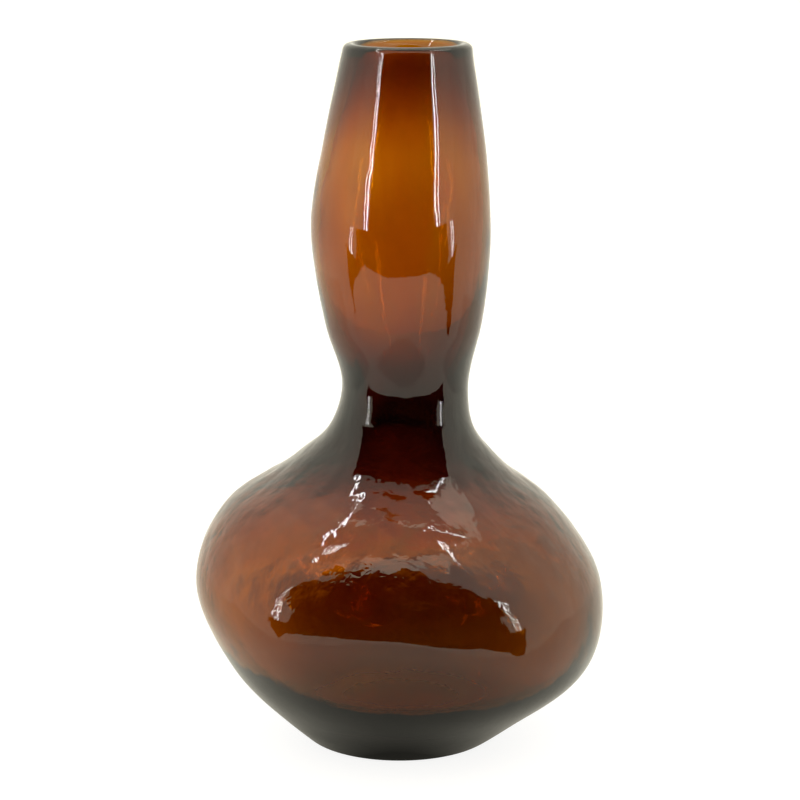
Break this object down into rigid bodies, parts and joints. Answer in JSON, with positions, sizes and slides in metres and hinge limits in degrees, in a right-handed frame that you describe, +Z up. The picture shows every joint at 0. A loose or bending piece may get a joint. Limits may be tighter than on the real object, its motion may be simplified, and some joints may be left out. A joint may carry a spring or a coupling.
{
  "type": "gourd vase",
  "caption": "Tall hand-blown gourd-shaped flower vase in thick amber glass, with a round belly, a pinched waist, a swelling neck and a rounded open lip.",
  "frame": {"origin": "on the table, under the middle of the ground foot", "axes": "+Z up through the mouth, front of the vase towards -Y, the lip leans a little towards +X"},
  "size_m": [0.2103, 0.2086, 0.356],
  "materials": {
    "amber_glass": "fire-polished, clear, dark amber"
  },
  "bodies": {
    "root": {"outer_gather": "amber_glass", "inner_gather": "amber_glass", "pontil_wad": "amber_glass"}
  },
  "joints": []
}
